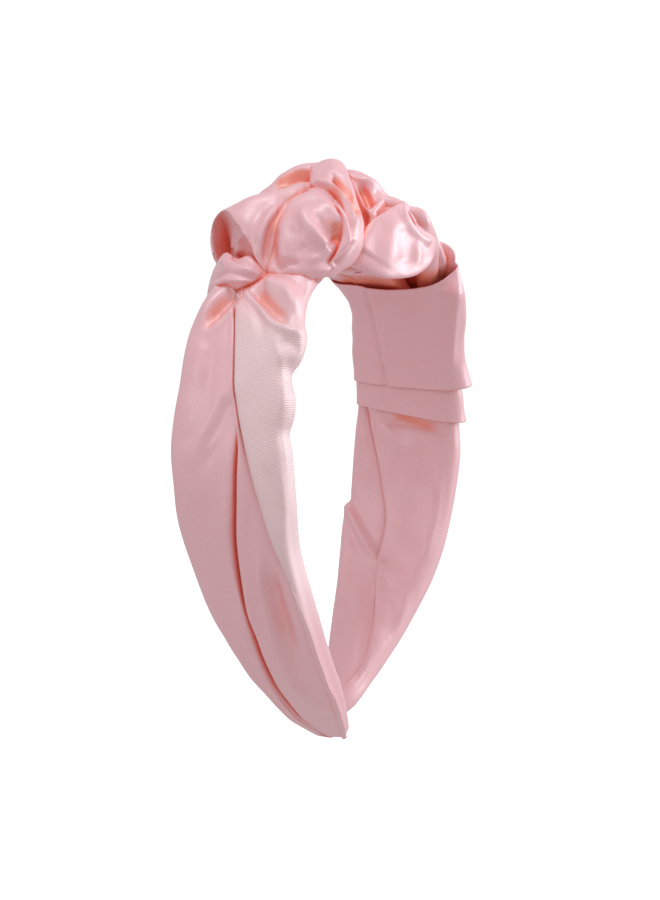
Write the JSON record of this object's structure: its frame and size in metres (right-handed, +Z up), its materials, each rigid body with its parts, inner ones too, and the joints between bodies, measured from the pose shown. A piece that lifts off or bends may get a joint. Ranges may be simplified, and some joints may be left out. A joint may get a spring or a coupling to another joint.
{
  "type": "knotted headband",
  "caption": "Wide sprung headband: a satin-covered arch with a soft satin tube knotted over the crown and cuffed down one arm.",
  "frame": {"origin": "middle of the crown's inner face, where the band sits on the head", "axes": "+Z up through the knot, -Y to the front, X across the head from arm to arm"},
  "size_m": [0.1229, 0.0515, 0.165],
  "materials": {
    "sleeve_satin": "glossy satin weave, pale blush pink",
    "knot_satin": "glossy satin weave, pale blush pink, deep folds",
    "cuff_satin": "glossy satin weave, pale blush pink",
    "strip": "moulded, slightly translucent",
    "tape": "adhesive-backed cotton tape",
    "thread": "spun polyester thread"
  },
  "bodies": {
    "crown": {"core_crown": "strip", "crown_wrap": "sleeve_satin", "knot_left_loop": "knot_satin", "knot_right_loop": "knot_satin", "knot_strap": "knot_satin", "knot_left_tie": "knot_satin", "tack_thread_left": "thread", "tack_thread_right": "thread"},
    "left_arm": {"core_left": "strip", "tape_left": "tape", "sleeve_left": "sleeve_satin"},
    "right_arm": {"core_right": "strip", "tape_right": "tape", "sleeve_right": "sleeve_satin", "cuff_upper": "cuff_satin", "cuff_lower": "cuff_satin"}
  },
  "joints": [
    {"name": "left_arm_flex", "type": "hinge", "parent": "crown", "child": "left_arm", "pos_m": [-0.02943, 0, -0.00106], "axis": [0, 1, 0], "range_deg": [-3, 24], "stiffness_Nm_per_rad": 0.8},
    {"name": "right_arm_flex", "type": "hinge", "parent": "crown", "child": "right_arm", "pos_m": [0.02943, 0, -0.00106], "axis": [0, -1, 0], "range_deg": [-3, 24], "stiffness_Nm_per_rad": 0.8}
  ]
}
